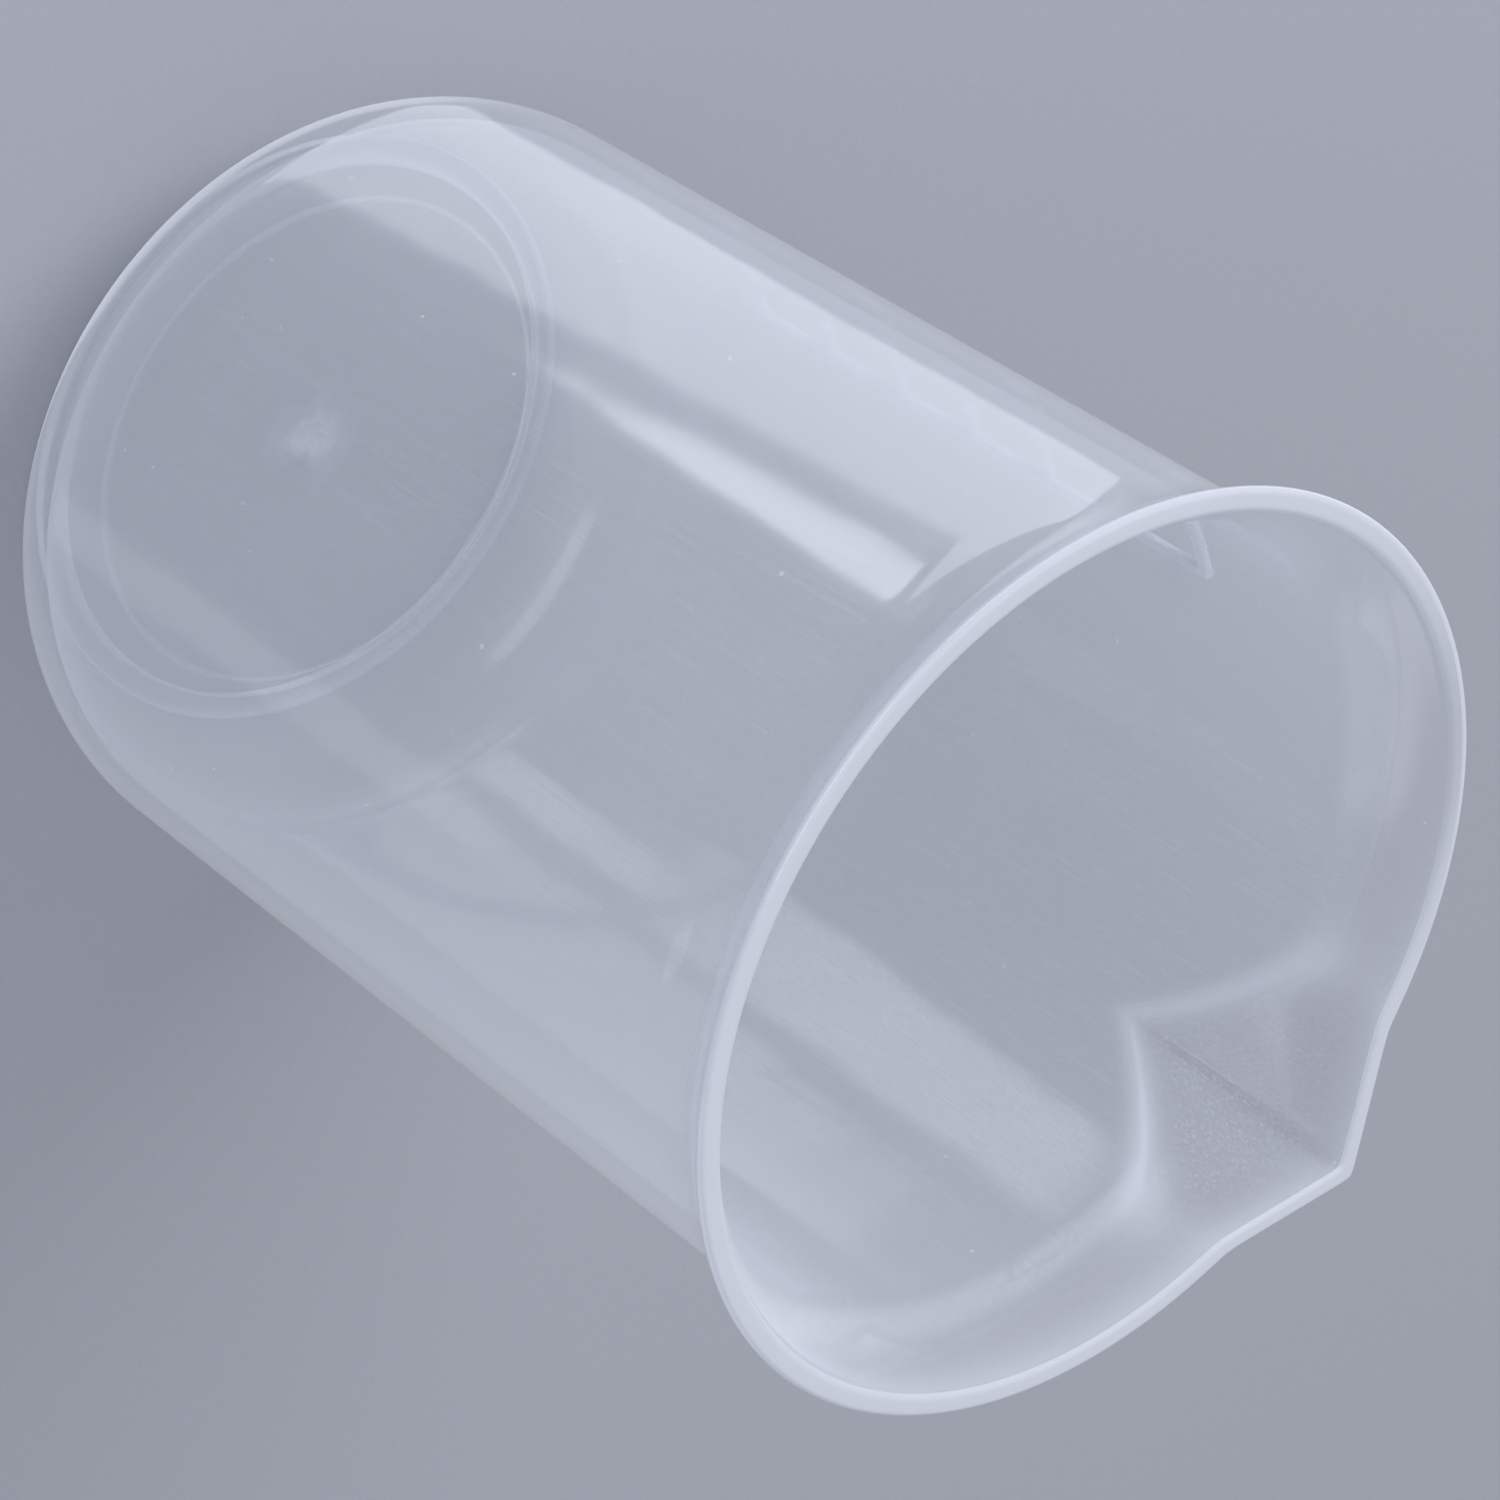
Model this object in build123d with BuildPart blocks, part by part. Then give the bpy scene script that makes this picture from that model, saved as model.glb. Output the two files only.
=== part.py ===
from build123d import *
from math import cos, degrees, pi, radians, sin, sqrt, tan
import os

# Resin mixing cup: one thin moulded shell with a flared rim and a folded pouring spout.
# Lengths are in millimetres and angles in degrees. The cup stands on z = 0 with its axis
# on +Z, and the spout points along +X.

# Overall size
cup_height = 70.0
rim_diameter = 53.0
wall = 1.2
wall_draft = 0.4

# Flared rim: an arc with a short straight end, and a lip whose edges are broken
flare_reach = 2.4
flare_lean = 36.0
flare_straight = 1.2
lip_width = 1.2
lip_outer_chamfer = 0.5
lip_inner_chamfer = 0.2

# Base, which stands on a narrow foot ring round a shallow recess
base_corner_radius = 9.3
inner_corner_radius = 7.0
foot_ring_inset = 5.0
foot_ring_width = 1.4
foot_recess = 1.0
foot_chamfer = 0.25
floor_thickness = 1.2

# Gate mark, left in the recess where the plastic entered the mould
gate_dimple_diameter = 4.0
gate_dimple_depth = 0.3
gate_nub_diameter = 1.5
gate_nub_height = 0.5

# Folded spout: a V whose crease leans outwards from the wall up to the tip
spout_reach = 4.64
spout_lean = 29.0
spout_half_angle = 52.5
spout_nose_radius = 0.6
spout_blend = 1.0

# Volume scale: raised marks 10 ml apart on a raised spine, every second one long.
# The spine stands this many degrees round from the spout, and the marks run on from it.
scale_turn = 65.0
top_mark_height = 52.85
mark_spacing = 6.21
mark_count = 7
long_mark = 4.2
short_mark = 2.4
mark_width = 0.6
mark_relief = 0.3

# How far a cutting shape runs past what it cuts
overrun = 2.0

# Angles in radians
draft = radians(wall_draft)
flare_turn = radians(flare_lean)
crease_lean = radians(spout_lean)
half_angle = radians(spout_half_angle)


def lip_growth(lean):
    """How far a wall that leans out must overshoot the rim for its chamfered lip to end there."""
    return lip_outer_chamfer * sin(lean)


# Side of the cup, tapered by the draft
rim_radius = rim_diameter / 2
side_top_radius = rim_radius - flare_reach
side_base_radius = side_top_radius - cup_height * tan(draft)
wall_across = wall / cos(draft)
side_slope = (sin(draft), cos(draft))


def side_radius(height):
    """Outer radius of the straight side at a height."""
    return side_base_radius + height * tan(draft)


def flare_outline(side_top, lip_radius):
    """The foot and the end of the flare's arc, for a side that would reach side_top at the rim."""
    rise = sin(flare_turn) - sin(draft)
    spread = cos(draft) - cos(flare_turn) - rise * tan(draft)
    straight_spread = flare_straight * (sin(flare_turn) - cos(flare_turn) * tan(draft))
    radius = (lip_radius - side_top - straight_spread) / spread
    end = (lip_radius - flare_straight * sin(flare_turn), cup_height - flare_straight * cos(flare_turn))
    foot_height = end[1] - radius * rise
    foot = (side_top - (cup_height - foot_height) * tan(draft), foot_height)
    return foot, end


# Outer and inner flare; the outer lip edge overshoots the rim by what its chamfer takes off
outer_lip_edge = (rim_radius + lip_growth(flare_turn), cup_height)
inner_lip_edge = (rim_radius - lip_width, cup_height)
outer_flare = flare_outline(side_top_radius, outer_lip_edge[0])
inner_flare = flare_outline(side_top_radius - wall_across, inner_lip_edge[0])


def corner_centre(radius_at_zero, corner, flat_height):
    """Centre of the arc that joins a flat base to the tapered side."""
    reach = corner * (1 - sin(draft)) / cos(draft)
    return (
        radius_at_zero + flat_height * tan(draft) - reach,
        flat_height + corner,
    )


def corner_top(centre, corner):
    """Point where the corner arc runs into the tapered side."""
    return centre[0] + corner * cos(draft), centre[1] - corner * sin(draft)


# Outer corner: the arc is tangent to the side, and the foot ring cuts across its lower end
foot_radius = side_base_radius - foot_ring_inset
outer_centre = corner_centre(side_base_radius, base_corner_radius, 0)
outer_side_start = corner_top(outer_centre, base_corner_radius)
foot_ring_top = outer_centre[1] - sqrt(base_corner_radius**2 - (foot_radius - outer_centre[0]) ** 2)

# Inner corner: tangent to the floor and to the inner side
floor_top = foot_recess + floor_thickness
inner_base_radius = side_base_radius - wall_across
inner_centre = corner_centre(inner_base_radius, inner_corner_radius, floor_top)
inner_side_start = corner_top(inner_centre, inner_corner_radius)

# Spout: point of the V ahead of its rounded nose, depth at which its crease meets the side,
# and how far the inner V stands behind the outer one
nose_cut = spout_nose_radius * (1 / sin(half_angle) - 1)
spout_point = rim_radius + spout_reach + nose_cut + lip_growth(crease_lean)
spout_depth = (spout_point - side_top_radius) / (tan(crease_lean) - tan(draft))
spout_length = spout_depth / cos(crease_lean)
crease_down = (-sin(crease_lean), 0, -cos(crease_lean))
fold_normal = sqrt(cos(crease_lean) ** 2 + (sin(crease_lean) * sin(half_angle)) ** 2)
spout_wall_shift = wall * fold_normal / (cos(crease_lean) * sin(half_angle))
spout_back = spout_point - side_top_radius + overrun


# Scale: an upright plane through its spine, and the heights of its marks from the top down
scale_azimuth = radians(scale_turn)
scale_out = (cos(scale_azimuth), sin(scale_azimuth), 0)
scale_plane = Plane((0, 0, 0), x_dir=scale_out, z_dir=(scale_out[1], -scale_out[0], 0))
mark_heights = [top_mark_height - step * mark_spacing for step in range(mark_count)]


def corner_arc(centre, corner, start, end):
    """Rounded bottom corner, drawn from one of its end points to the other."""
    middle = ((start[0] + end[0]) / 2 - centre[0], (start[1] + end[1]) / 2 - centre[1])
    stretch = corner / sqrt(middle[0] ** 2 + middle[1] ** 2)
    halfway = (centre[0] + middle[0] * stretch, centre[1] + middle[1] * stretch)
    ThreePointArc(start, halfway, end)


def spout_plan(point):
    """V of the spout at rim height, its point towards +X and rounded at the nose."""
    back = point - spout_back
    spread = spout_back * tan(half_angle)
    with BuildSketch(Plane.XY.offset(cup_height)) as plan:
        with BuildLine():
            Polyline((back, -spread), (point, 0), (back, spread), close=True)
        make_face()
        fillet(plan.vertices().sort_by(Axis.X)[-1], radius=spout_nose_radius)
    return plan.sketch


with BuildPart() as cavity:
    # Space inside the cup, turned from its half outline
    with BuildSketch(Plane.XZ):
        with BuildLine():
            floor_edge = (inner_centre[0], floor_top)
            Line((0, floor_top), floor_edge)
            corner_arc(inner_centre, inner_corner_radius, floor_edge, inner_side_start)
            Line(inner_side_start, inner_flare[0])
            TangentArc(*inner_flare, tangent=side_slope)
            Polyline(inner_flare[1], inner_lip_edge, (0, cup_height), (0, floor_top))
        make_face()
    revolve(axis=Axis.Z)
    # Hollow of the fold, with a soft crease where it leaves the round wall
    extrude(spout_plan(spout_point - spout_wall_shift), amount=spout_length, dir=crease_down)
    fillet(cavity.edges(Select.NEW), radius=spout_blend)
    # The mouth is open above the rim
    extrude(cavity.faces().sort_by(Axis.Z)[-1], amount=overrun)


with BuildPart() as cup:
    # Outside of the cup as a full block, turned from its half outline
    with BuildSketch(Plane.XZ):
        with BuildLine():
            foot_edge = (foot_radius, foot_ring_top)
            Polyline((0, 0), (foot_radius, 0), foot_edge)
            corner_arc(outer_centre, base_corner_radius, foot_edge, outer_side_start)
            Line(outer_side_start, outer_flare[0])
            TangentArc(*outer_flare, tangent=side_slope)
            Polyline(outer_flare[1], outer_lip_edge, (0, cup_height), (0, 0))
        make_face()
    revolve(axis=Axis.Z)
    # Outside of the folded spout, blended into the wall
    extrude(spout_plan(spout_point), amount=spout_length, dir=crease_down)
    fillet(cup.edges(Select.NEW), radius=spout_blend)
    # Inside
    add(cavity.part, mode=Mode.SUBTRACT)
    # Lip: its flat end face is the highest face of the cup
    lip_face = cup.faces().sort_by(Axis.Z)[-1]
    chamfer(lip_face.outer_wire().edges(), length=lip_outer_chamfer)
    lip_face = cup.faces().sort_by(Axis.Z)[-1]
    chamfer(lip_face.inner_wires()[0].edges(), length=lip_inner_chamfer)
    # Recess under the base, which leaves the foot ring
    with BuildSketch(Plane.XY):
        Circle(foot_radius - foot_ring_width)
    extrude(amount=foot_recess, mode=Mode.SUBTRACT)
    foot_face = cup.faces().sort_by(Axis.Z)[0]
    chamfer(foot_face.edges(), length=foot_chamfer)
    # Gate mark: a shallow dimple in the recess, with the stub of the runner in it
    with BuildSketch(Plane.XY.offset(foot_recess)):
        Circle(gate_dimple_diameter / 2)
    extrude(amount=gate_dimple_depth, mode=Mode.SUBTRACT)
    with BuildSketch(Plane.XY.offset(foot_recess + gate_dimple_depth)):
        Circle(gate_nub_diameter / 2)
    extrude(amount=-gate_nub_height)
    # Volume scale: spine, then the long and the short marks, each sunk a little into the wall
    with BuildSketch(scale_plane):
        with BuildLine():
            spine_low = mark_heights[-1] - mark_width / 2
            spine_high = mark_heights[0] + mark_width / 2
            Polyline(
                (side_radius(spine_low) - mark_relief, spine_low),
                (side_radius(spine_low) + mark_relief, spine_low),
                (side_radius(spine_high) + mark_relief, spine_high),
                (side_radius(spine_high) - mark_relief, spine_high),
                close=True,
            )
        make_face()
    extrude(amount=mark_width / 2, both=True)
    for heights, length in ((mark_heights[::2], long_mark), (mark_heights[1::2], short_mark)):
        with BuildSketch(scale_plane):
            for height in heights:
                with Locations((side_radius(height), height)):
                    Rectangle(2 * mark_relief, mark_width)
        revolve(axis=Axis.Z, revolution_arc=degrees(length / side_top_radius))
cup.part.label = "cup"

os.makedirs("parts", exist_ok=True)
export_step(cup.part, "parts/cup.step")
print("volume", round(cup.part.volume, 1), "size", cup.part.bounding_box().size)
print("outer flare", outer_flare, "spout depth", round(spout_depth, 2))

# Volume below each mark, in millilitres: the rounded bottom, then the tapered bore above it
corner_rise = inner_side_start[1] - floor_top
corner_volume = pi * (
    inner_centre[0] ** 2 * corner_rise
    + inner_centre[0] * pi * inner_corner_radius**2 / 2
    + 2 * inner_corner_radius**3 / 3
)
for height in mark_heights:
    low_radius = inner_side_start[0]
    high_radius = side_radius(height) - wall_across
    bore = height - inner_side_start[1]
    bore_volume = pi * bore * (low_radius**2 + low_radius * high_radius + high_radius**2) / 3
    print("mark at", round(height, 2), "holds", round((corner_volume + bore_volume) / 1000, 1), "ml")
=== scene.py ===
# %% [markdown]
# # A resin mixing cup
# The object is a small see-through measuring cup, moulded in one shot from natural
# polypropylene. The plastic is clear but a little milky, so both walls, the foot ring and the
# gate mark show through one another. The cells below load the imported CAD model, place the
# camera, build the cup's skin from its own drawing sizes, and then give it its finish.

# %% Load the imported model
import math

import bmesh
import bpy
import numpy as np
from mathutils import Matrix, Vector


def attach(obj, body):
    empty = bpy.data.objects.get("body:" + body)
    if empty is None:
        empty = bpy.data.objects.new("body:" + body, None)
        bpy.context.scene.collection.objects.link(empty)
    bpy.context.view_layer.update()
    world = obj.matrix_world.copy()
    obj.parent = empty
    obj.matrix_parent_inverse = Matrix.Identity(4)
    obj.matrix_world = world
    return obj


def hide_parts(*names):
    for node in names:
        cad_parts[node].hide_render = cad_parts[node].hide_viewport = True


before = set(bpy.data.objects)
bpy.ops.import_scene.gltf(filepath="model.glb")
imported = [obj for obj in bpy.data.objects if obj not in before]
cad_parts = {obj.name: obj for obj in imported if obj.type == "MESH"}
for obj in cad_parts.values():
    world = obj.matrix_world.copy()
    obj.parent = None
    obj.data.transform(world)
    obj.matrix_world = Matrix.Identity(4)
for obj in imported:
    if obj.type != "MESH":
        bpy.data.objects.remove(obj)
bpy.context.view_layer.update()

MM = 0.001

# %% [markdown]
# ## Camera
# In the photograph the cup lies on its side with the mouth towards the lower right. The part
# stands upright, so the camera is rolled instead: it looks down into the mouth from behind the
# cup's back, 40 degrees above the floor. Its place and its directions were found by matching the
# rim, the base and the silhouettes of the cup, and a matrix takes them as they are.

# %% Camera
CAMERA_PLACE = Vector((-0.2248, -0.0153, 0.2295))
CAMERA_RIGHT = Vector((0.4932, 0.5906, 0.6387)).normalized()
CAMERA_LOOK = Vector((0.7681, 0.0491, -0.6384)).normalized()
PICTURE_SIDE = 1500
FOCAL_PIXELS = 5402


def placed(name, data):
    """A new object in the scene that holds the given data."""
    made = bpy.data.objects.new(name, data)
    bpy.context.scene.collection.objects.link(made)
    return made


def place_camera():
    """A long lens at the photograph's viewing angle."""
    data = bpy.data.cameras.new("camera")
    data.sensor_width = 36.0
    data.lens = data.sensor_width * FOCAL_PIXELS / PICTURE_SIDE
    data.clip_start = 0.01
    upward = CAMERA_RIGHT.cross(CAMERA_LOOK).normalized()
    sideways = CAMERA_LOOK.cross(upward)
    turn = Matrix((sideways, upward, -CAMERA_LOOK)).transposed()
    camera = placed("camera", data)
    camera.matrix_world = Matrix.Translation(CAMERA_PLACE) @ turn.to_4x4()
    bpy.context.scene.camera = camera
    return camera


camera = place_camera()
print("lens", round(camera.data.lens, 2), "mm")

# %% [markdown]
# ## The cup's drawing sizes
# These are the lengths, in millimetres, that the CAD part is built from. The skin below is made
# from the same numbers, so it fits the CAD solid. The CAD solid has plain broken edges on its
# lip and foot, while the skin has the small true roundings of the moulded one.

# %% Drawing sizes
CUP_HEIGHT = 70.0
RIM_RADIUS = 26.5
WALL = 1.2
DRAFT = math.radians(0.4)
FLARE_REACH = 2.4
FLARE_LEAN = math.radians(36)
FLARE_STRAIGHT = 1.2
LIP_WIDTH = 1.2
LIP_BROKEN_EDGE = 0.5
LIP_SHARP_EDGE = RIM_RADIUS + LIP_BROKEN_EDGE * math.sin(FLARE_LEAN)
LIP_OUTER_ROUNDING = 0.61
LIP_INNER_ROUNDING = 0.25

SPOUT_LEAN = math.radians(29)
SPOUT_HALF_ANGLE = math.radians(52.5)
SPOUT_POINT = 31.52
SPOUT_WALL_SHIFT = 1.65
SPOUT_NOSE = 0.25
FOLD_SOFTNESS = 0.22

BASE_CORNER = 9.3
INNER_CORNER = 7.0
FOOT_INSET = 5.0
FOOT_WIDTH = 1.4
FOOT_RECESS = 1.0
FOOT_ROUNDING = 0.25
FLOOR_THICKNESS = 1.2

SIDE_TOP = RIM_RADIUS - FLARE_REACH
SIDE_BASE = SIDE_TOP - CUP_HEIGHT * math.tan(DRAFT)
FLOOR_TOP = FOOT_RECESS + FLOOR_THICKNESS
FOOT_RADIUS = SIDE_BASE - FOOT_INSET
WALL_ACROSS = WALL / math.cos(DRAFT)
print("side from", round(SIDE_BASE, 2), "mm at the base to", round(SIDE_TOP, 2), "mm at the top")

# %% [markdown]
# ## Wall outline
# Each wall runs straight up with a slight taper, bends outwards in an arc, and ends in a short
# straight flare. It could be a drawn curve that a Screw modifier turns. Here the outline is a
# formula for the radius at a height, because that lets the round wall and the folded spout be
# compared at every height and angle, which is how the fold is made.

# %% Wall outline
def flare_numbers(side_top, lip_edge):
    """Arc radius, foot height and end of the flare for one wall."""
    rise = math.sin(FLARE_LEAN) - math.sin(DRAFT)
    spread = math.cos(DRAFT) - math.cos(FLARE_LEAN) - rise * math.tan(DRAFT)
    straight = FLARE_STRAIGHT * (math.sin(FLARE_LEAN) - math.cos(FLARE_LEAN) * math.tan(DRAFT))
    arc = (lip_edge - side_top - straight) / spread
    end_radius = lip_edge - FLARE_STRAIGHT * math.sin(FLARE_LEAN)
    end_height = CUP_HEIGHT - FLARE_STRAIGHT * math.cos(FLARE_LEAN)
    return arc, end_height - arc * rise, end_radius, end_height


def round_wall(side_top, lip_edge):
    """The radius of a round wall as a function of height, and the height where its flare starts."""
    arc, foot_height, end_radius, end_height = flare_numbers(side_top, lip_edge)
    foot_radius = side_top - (CUP_HEIGHT - foot_height) * math.tan(DRAFT)

    def radius(height):
        side = side_top - (CUP_HEIGHT - height) * math.tan(DRAFT)
        turned = (height - foot_height) / arc + math.sin(DRAFT)
        turned = np.clip(turned, math.sin(DRAFT), math.sin(FLARE_LEAN))
        bent = foot_radius + arc * (math.cos(DRAFT) - np.sqrt(1 - turned**2))
        ended = end_radius + (height - end_height) * math.tan(FLARE_LEAN)
        return np.where(height < foot_height, side, np.where(height < end_height, bent, ended))

    return radius, foot_height


outer_round, outer_flare_foot = round_wall(SIDE_TOP, LIP_SHARP_EDGE)
inner_round, inner_flare_foot = round_wall(SIDE_TOP - WALL_ACROSS, RIM_RADIUS - LIP_WIDTH)
print("flare starts at", round(outer_flare_foot, 2), "mm outside,",
      round(inner_flare_foot, 2), "mm inside")

# %% [markdown]
# ## Folded spout
# The spout is the hardest form of this cup. The wall is folded out into a V whose crease leans
# outwards, and the fold dies away softly into the round wall. Cutting a V out of a cylinder
# leaves a knife edge, and a bevel along that edge needs care at its ends. Here the wall takes
# whichever of the two radii is larger, the round one or the folded one, and a soft maximum
# blends them, so the crease, its point and its fading end come out of one formula.

# %% Folded spout
FOLD_REACH = math.radians(44)
FADE_END = math.radians(42)
FADE_LENGTH = math.radians(10)


def folded_radius(angle, height, point):
    """Distance from the axis to the V of the spout, whose nose is a narrow hyperbola."""
    slope = 1 / math.tan(SPOUT_HALF_ANGLE)
    tip = point - (CUP_HEIGHT - height) * math.tan(SPOUT_LEAN)
    across = np.cos(angle) ** 2 - (slope * np.sin(angle)) ** 2
    along = tip * np.cos(angle)
    beyond = tip**2 - (slope * SPOUT_NOSE) ** 2
    return (along - np.sqrt(np.maximum(along**2 - across * beyond, 0))) / across


def eased(share):
    """A share from 0 to 1 that starts and ends gently."""
    return share * share * (3 - 2 * share)


def spouted(round_radius, point):
    """The radius of a wall with its spout, and how far the fold stands out of the round wall."""

    def lift(angle, height):
        near = np.abs(angle) < FOLD_REACH
        fold = folded_radius(np.where(near, angle, 0), height, point)
        return np.where(near, fold, 0) - round_radius(height)

    def radius(angle, height):
        stands_out = lift(angle, height)
        softened = (stands_out + np.sqrt(stands_out**2 + FOLD_SOFTNESS**2)) / 2
        fade = eased(np.clip((FADE_END - np.abs(angle)) / FADE_LENGTH, 0, 1))
        return round_radius(height) + softened * fade

    return radius, lift


outer_wall, outer_lift = spouted(outer_round, SPOUT_POINT)
inner_wall, inner_lift = spouted(inner_round, SPOUT_POINT - SPOUT_WALL_SHIFT)
spout_tip = float(outer_wall(np.array(0.0), np.array(CUP_HEIGHT)))
print("spout reaches", round(spout_tip, 2), "mm before rounding")

# %% [markdown]
# ## Rows and columns
# The skin is a grid wrapped round the axis. A coarse grid under a subdivision surface would pull
# the creases and the lip off their sizes, so every row and column is placed where it belongs.
# Columns are close together at the spout's nose and wider apart on the plain round wall. Rows
# run from the gate mark out over the base, up the outside, over the lip, down the inside and
# across the floor, and each one carries how much plastic lies behind it in millimetres, with
# painted shade on one side of the lip and a painted highlight along the spout's creases added in.
# The finish reads that to know where the cup looks dense.

# %% Columns and row helpers
half_turn = np.concatenate([
    np.arange(0, 3, 0.25),
    np.arange(3, 30, 0.5),
    np.linspace(30, 180, 71),
])
columns_from_spout = np.radians(np.concatenate([half_turn, half_turn[-2:0:-1]]))
side_of_spout = np.ones(len(columns_from_spout))
side_of_spout[len(half_turn):] = -1
columns = columns_from_spout * side_of_spout
SLOPE_STEP = 0.4
rows = []


def ring(radius, height, depth):
    """One row of the skin, in millimetres; each number may change round the cup."""
    spread = np.ones_like(columns)
    rows.append((radius * spread, height * spread, depth))


def arc_rings(centre, radius, start, end, steps, depth):
    """Rows along an arc in the half section, from one angle to another in degrees."""
    for turn in np.radians(np.linspace(start, end, steps)):
        ring(centre[0] + radius * math.cos(turn), centre[1] + radius * math.sin(turn), depth)


def lip_corner(wall, rounding):
    """Per column: the rounding's start on the wall, the sharp corner, and its end on the top."""
    top = np.full_like(columns, CUP_HEIGHT)
    corner = wall(columns, top)
    slope = (corner - wall(columns, top - SLOPE_STEP)) / SLOPE_STEP
    length = np.sqrt(1 + slope**2)
    towards_lip = -1 if wall is outer_wall else 1
    low = (corner - rounding * slope / length, top - rounding / length)
    high = (corner + rounding * towards_lip, top)
    return low, (corner, top), high


def lip_rings(low, corner, high, steps, depth):
    """Rows round one rounded edge of the lip, a true circular arc in each column."""
    a = np.stack([low[0] - corner[0], low[1] - corner[1]])
    b = np.stack([high[0] - corner[0], high[1] - corner[1]])
    between = np.arccos((a * b).sum(0) / np.sqrt((a * a).sum(0) * (b * b).sum(0)))
    pull = np.sin(between / 2)
    for t in np.linspace(0, 1, steps):
        share = (1 - t) ** 2 + 2 * pull * t * (1 - t) + t**2
        radius, height = [
            ((1 - t) ** 2 * low[i] + 2 * pull * t * (1 - t) * corner[i] + t**2 * high[i]) / share
            for i in (0, 1)
        ]
        rows.append((radius, height, depth))


print(len(columns), "columns")

# %% [markdown]
# ## Gate mark and foot
# The plastic entered the mould in the middle of the base. What is left is a shallow dimple with
# the torn stub of the runner in it. It could be sculpted, but a few waves added to a circle give
# the same torn outline, and the rows stay part of the skin. The plastic there is cloudy, which a
# greater depth shows: a faint halo and a dense core. Round the recess runs the foot ring that the
# cup stands on. From above one looks along its walls, so it has the depth of a thick place.

# %% Gate mark rows
WALL_DEPTH = 0.6
DIMPLE_REACH = 2.5
DIMPLE_HEIGHT = 0.3
STUB_HEIGHT = 0.5
STUB_RAGGEDNESS = 0.18
RAGGED_WAVES_ROUND = 5
RAGGED_WAVES_OUTWARDS = 9
HALO_DEPTH = 3.0
CORE_DEPTH = 14.0
CORE_SHARPNESS = 1.5
# The radius of each patch, and its level in the middle, of which what is over 1 stays flat
STUB = (0.95, 1.25)
HALO = (2.4, 1.35)
CORE = (1.5, 1.2)
# Waves in the torn outline: how many go round, where they start, and how large they are
TORN_WAVES = ((2, 0.7, 0.22), (3, 2.1, 0.13), (7, 0.0, 0.07))
gate_distances = np.concatenate([np.linspace(0.02, 1.5, 16), np.linspace(1.6, 2.5, 10)])
torn_outline = 1 + sum(size * np.sin(count * columns + start) for count, start, size in TORN_WAVES)


def torn_patch(distance, radius, middle):
    """1 in the middle of the gate mark, and 0 outside a torn outline."""
    return np.clip(middle - distance / (radius * torn_outline), 0, 1)


for distance in gate_distances:
    dimple = DIMPLE_HEIGHT * np.clip(DIMPLE_REACH - distance, 0, 1) ** 2
    waves = np.sin(RAGGED_WAVES_ROUND * columns + RAGGED_WAVES_OUTWARDS * distance)
    ragged = 1 + STUB_RAGGEDNESS * waves * min(distance, 1)
    drop = STUB_HEIGHT * ragged * eased(torn_patch(distance, *STUB))
    halo = HALO_DEPTH * torn_patch(distance, *HALO)
    core = CORE_DEPTH * torn_patch(distance, *CORE) ** CORE_SHARPNESS
    ring(distance, FOOT_RECESS + dimple - drop, WALL_DEPTH + halo + core)
print(len(rows), "rows in the gate mark")

# %% Foot rows
FOOT_DEPTH = 7.0
RECESS_ROUNDING = 0.12
RECESS_EDGE_ROW = 0.3
RECESS_ROWS = (4, 7, 10, 13, 16)
FOOT_INSIDE_ROW = 0.6
foot_inside = FOOT_RADIUS - FOOT_WIDTH
recess_corner = (foot_inside - RECESS_ROUNDING, FOOT_RECESS - RECESS_ROUNDING)
foot_inner_edge = (foot_inside + FOOT_ROUNDING, FOOT_ROUNDING)
foot_outer_edge = (FOOT_RADIUS - FOOT_ROUNDING, FOOT_ROUNDING)
for distance in (*RECESS_ROWS, foot_inside - RECESS_EDGE_ROW):
    ring(distance, FOOT_RECESS, WALL_DEPTH)
arc_rings(recess_corner, RECESS_ROUNDING, 90, 0, steps=5, depth=FOOT_DEPTH)
ring(foot_inside, FOOT_INSIDE_ROW, FOOT_DEPTH)
arc_rings(foot_inner_edge, FOOT_ROUNDING, 180, 270, steps=7, depth=FOOT_DEPTH)
ring(foot_inside + FOOT_WIDTH / 2, 0.0, FOOT_DEPTH)
arc_rings(foot_outer_edge, FOOT_ROUNDING, 270, 360, steps=7, depth=FOOT_DEPTH)
print("foot ring from", round(foot_inside, 2), "to", round(FOOT_RADIUS, 2), "mm")

# %% [markdown]
# ## Depth of plastic along the fold
# The creases get more milk than the plain wall, a painted highlight along them, and the inside
# more of it than the outside. The flat faces of the V get less depth, least at the nose. It could
# be painted on by hand. Here it follows from how far the fold stands out of the round wall, which
# is nought at the crease itself, so it stays in place when the spout's sizes change.

# %% Depth of plastic and a painted highlight along the fold
CREASE_REACH = 0.5
# Extra milk along the creases, a painted highlight, and the share of it that the outside gets
CREASE_HIGHLIGHT_DEPTH = 3.4
OUTER_HIGHLIGHT_SHARE = 0.2
FACE_START = 1.2
FACE_THINNING = 0.3
NOSE_REACH = 0.45
NOSE_THINNING = 0.25
CREASE_TOP = 68.5
CREASE_FADE = 3.0
CREASE_AT_RIM = 0.12


def folded_depth(lift, height):
    """Depth round the fold: more along its creases as a painted highlight, less on the faces of the
    V.
    """
    stands_out = lift(columns, height)
    crease = np.exp(-(((stands_out + CREASE_REACH / 2) / CREASE_REACH) ** 2))
    face = np.clip(stands_out / FACE_START, 0, 1)
    nose = np.exp(-((columns_from_spout * RIM_RADIUS / NOSE_REACH) ** 2))
    dying = np.clip((CREASE_TOP - height) / CREASE_FADE, CREASE_AT_RIM, 1)
    # Painted highlight: extra milk along the creases, weaker outside, fading below the rim
    crease_highlight = CREASE_HIGHLIGHT_DEPTH * crease * dying * (1.0 if lift is inner_lift else OUTER_HIGHLIGHT_SHARE)
    return WALL_DEPTH + crease_highlight - face * (FACE_THINNING + NOSE_THINNING * nose)


print("depth", WALL_DEPTH, "mm on the plain wall, and up to", CREASE_HIGHLIGHT_DEPTH, "mm more in a crease")
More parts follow.
